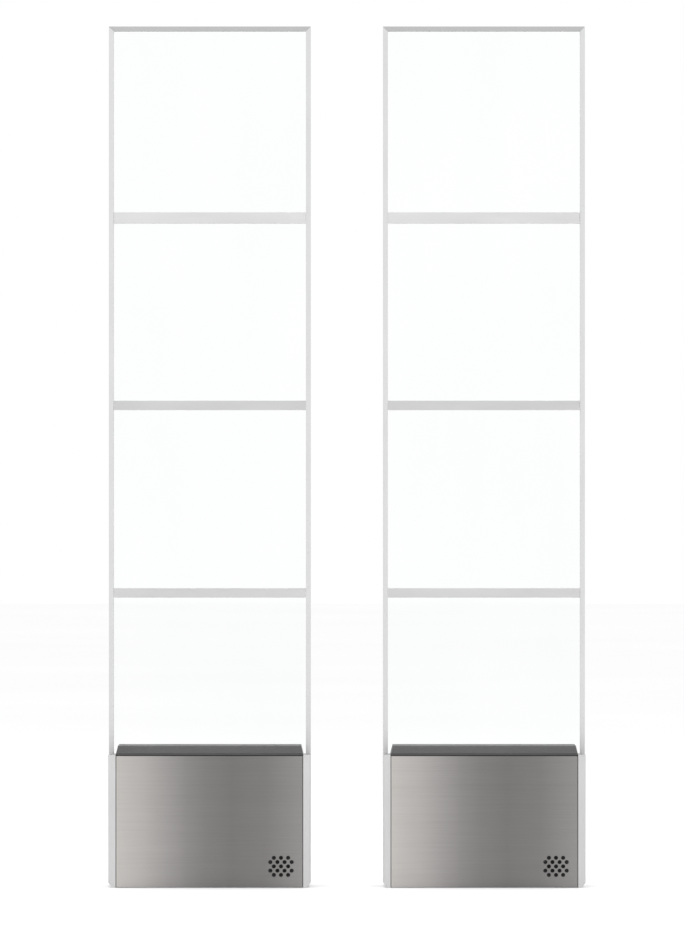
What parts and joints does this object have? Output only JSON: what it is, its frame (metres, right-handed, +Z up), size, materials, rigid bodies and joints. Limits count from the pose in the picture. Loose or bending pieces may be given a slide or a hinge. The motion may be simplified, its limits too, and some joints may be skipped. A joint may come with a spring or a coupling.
{
  "type": "security gate",
  "caption": "Walk-through anti-theft gate: two clear upright antenna panels with crossbars, each clamped in a steel-clad floor base with a speaker grille.",
  "frame": {"origin": "on the floor, midway between the two pedestals and in the plane of their clear panels", "axes": "+Z up; +X along the gate, from the left pedestal (a) to the right one (b) as seen from the front; -Y is the front, where the speaker grilles are"},
  "size_m": [0.858, 0.112, 1.55],
  "materials": {
    "clear_acrylic": "polished, clear",
    "edge_plastic": "satin light grey",
    "frosted_plastic": "frosted, translucent pale grey",
    "brushed_steel": "vertically brushed",
    "cap_plastic": "satin light grey",
    "dark_plastic": "fine moulded texture",
    "zinc_steel": "zinc plated",
    "fastener_steel": "bright zinc",
    "rubber": "matt",
    "copper": "bare copper",
    "black_metal": "satin black",
    "speaker_paper": "pressed paper",
    "board_laminate": "green solder mask",
    "aluminium": "extruded",
    "core_steel": "varnished laminations",
    "terminal_plastic": "moulded",
    "switch_plastic": "moulded black",
    "control_red": "moulded red",
    "dial_plastic": "moulded white",
    "wire_insulation": "soft insulation"
  },
  "bodies": {
    "root": {"a_base_plate": "zinc_steel", "a_cable_grommet": "rubber", "a_acrylic_panel": "clear_acrylic", "a_top_edge_trim": "edge_plastic", "a_left_edge_trim": "edge_plastic", "a_right_edge_trim": "edge_plastic", "a_upper_crossbar": "frosted_plastic", "a_middle_crossbar": "frosted_plastic", "a_lower_crossbar": "frosted_plastic", "a_antenna_loop": "copper", "a_front_clamp_bracket": "zinc_steel", "a_rear_clamp_bracket": "zinc_steel", "a_left_end_cap": "cap_plastic", "a_right_end_cap": "cap_plastic", "a_front_top_trim": "dark_plastic", "a_rear_top_trim": "dark_plastic", "a_circuit_board": "board_laminate", "a_heat_sink": "aluminium", "a_transformer": "core_steel", "a_terminal_block": "terminal_plastic", "a_power_switch": "switch_plastic", "b_base_plate": "zinc_steel", "b_cable_grommet": "rubber", "b_acrylic_panel": "clear_acrylic", "b_top_edge_trim": "edge_plastic", "b_left_edge_trim": "edge_plastic", "b_right_edge_trim": "edge_plastic", "b_upper_crossbar": "frosted_plastic", "b_middle_crossbar": "frosted_plastic", "b_lower_crossbar": "frosted_plastic", "b_antenna_loop": "copper", "b_front_clamp_bracket": "zinc_steel", "b_rear_clamp_bracket": "zinc_steel", "b_left_end_cap": "cap_plastic", "b_right_end_cap": "cap_plastic", "b_front_top_trim": "dark_plastic", "b_rear_top_trim": "dark_plastic", "b_circuit_board": "board_laminate", "b_heat_sink": "aluminium", "b_transformer": "core_steel", "b_terminal_block": "terminal_plastic", "b_power_switch": "switch_plastic", "clamp_fasteners": "fastener_steel", "clamp_gaskets": "rubber", "frame_screws": "fastener_steel", "internal_wiring": "wire_insulation"},
    "a_front_cover": {"a_front_cover": "brushed_steel", "a_speaker_frame": "black_metal", "a_speaker_cone": "speaker_paper"},
    "a_rear_cover": {"a_rear_cover": "brushed_steel"},
    "a_power_rocker": {"a_power_rocker": "control_red"},
    "a_volume_dial": {"a_volume_dial": "dial_plastic"},
    "a_test_button": {"a_test_button": "control_red"},
    "b_front_cover": {"b_front_cover": "brushed_steel", "b_speaker_frame": "black_metal", "b_speaker_cone": "speaker_paper"},
    "b_rear_cover": {"b_rear_cover": "brushed_steel"},
    "b_power_rocker": {"b_power_rocker": "control_red"},
    "b_volume_dial": {"b_volume_dial": "dial_plastic"},
    "b_test_button": {"b_test_button": "control_red"}
  },
  "joints": [
    {"name": "a_front_cover_slide", "type": "slide", "parent": "root", "child": "a_front_cover", "axis": [0, -1, 0], "range_m": [0, 0.12]},
    {"name": "a_rear_cover_slide", "type": "slide", "parent": "root", "child": "a_rear_cover", "axis": [0, 1, 0], "range_m": [0, 0.12]},
    {"name": "a_power_rocker_tilt", "type": "hinge", "parent": "root", "child": "a_power_rocker", "pos_m": [-0.215, 0.0275, 0.16], "axis": [1, 0, 0], "range_deg": [-16, 0]},
    {"name": "a_volume_dial_turn", "type": "hinge", "parent": "root", "child": "a_volume_dial", "pos_m": [-0.215, -0.0291, 0.134], "axis": [0, -1, 0], "range_deg": [-140, 140]},
    {"name": "a_test_button_press", "type": "slide", "parent": "root", "child": "a_test_button", "axis": [0, 1, 0], "range_m": [0, 0.0015], "stiffness_N_per_m": 600, "springref_m": -0.0005},
    {"name": "b_front_cover_slide", "type": "slide", "parent": "root", "child": "b_front_cover", "axis": [0, -1, 0], "range_m": [0, 0.12]},
    {"name": "b_rear_cover_slide", "type": "slide", "parent": "root", "child": "b_rear_cover", "axis": [0, 1, 0], "range_m": [0, 0.12]},
    {"name": "b_power_rocker_tilt", "type": "hinge", "parent": "root", "child": "b_power_rocker", "pos_m": [0.279, 0.0275, 0.16], "axis": [1, 0, 0], "range_deg": [-16, 0]},
    {"name": "b_volume_dial_turn", "type": "hinge", "parent": "root", "child": "b_volume_dial", "pos_m": [0.279, -0.0291, 0.134], "axis": [0, -1, 0], "range_deg": [-140, 140]},
    {"name": "b_test_button_press", "type": "slide", "parent": "root", "child": "b_test_button", "axis": [0, 1, 0], "range_m": [0, 0.0015], "stiffness_N_per_m": 600, "springref_m": -0.0005}
  ]
}
